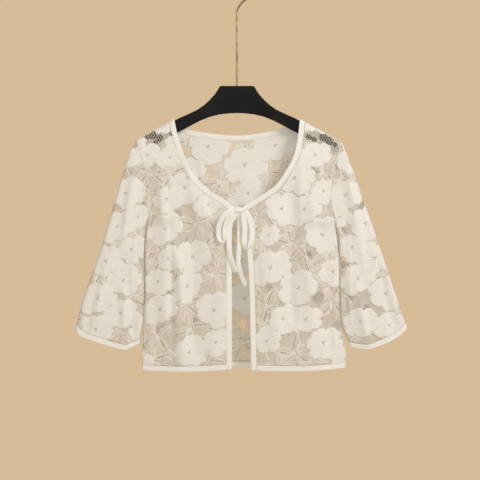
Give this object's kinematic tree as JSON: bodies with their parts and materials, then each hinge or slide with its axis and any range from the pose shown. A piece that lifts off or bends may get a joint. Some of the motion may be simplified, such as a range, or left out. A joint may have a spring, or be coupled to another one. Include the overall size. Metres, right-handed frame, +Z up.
{
  "type": "lace cardigan on a hanger",
  "caption": "Cropped open-front lace cardigan with elbow-length sleeves, plain bindings and a bow at the neck, hung flat on a slim shaped hanger with a wire hook.",
  "frame": {"origin": "the top of the hook's inside, where it hangs on a rod", "axes": "+Z up; the fronts face -Y; +X is on the right of someone who looks at the fronts"},
  "size_m": [0.6182, 0.0486, 0.7299],
  "materials": {
    "lace": "ivory lace of flowers and leaves on an open net, soft and matte",
    "binding": "plain ivory knitted bias strip, matte, with a line of stitches",
    "hanger": "black, satin",
    "hook": "plated wire"
  },
  "bodies": {
    "root": {"back": "lace", "front_left": "lace", "front_right": "lace", "sleeve_left": "lace", "sleeve_right": "lace", "neck_binding_left": "binding", "neck_binding_back": "binding", "neck_binding_right": "binding", "front_binding_left": "binding", "front_binding_right": "binding", "hem_binding_left": "binding", "hem_binding_back": "binding", "hem_binding_right": "binding", "cuff_binding_left": "binding", "cuff_binding_right": "binding", "tie_knot": "binding", "tie_loop_left": "binding", "tie_loop_right": "binding", "tie_tail_left": "binding", "tie_tail_right": "binding", "hanger": "hanger", "hook": "hook"}
  },
  "joints": []
}
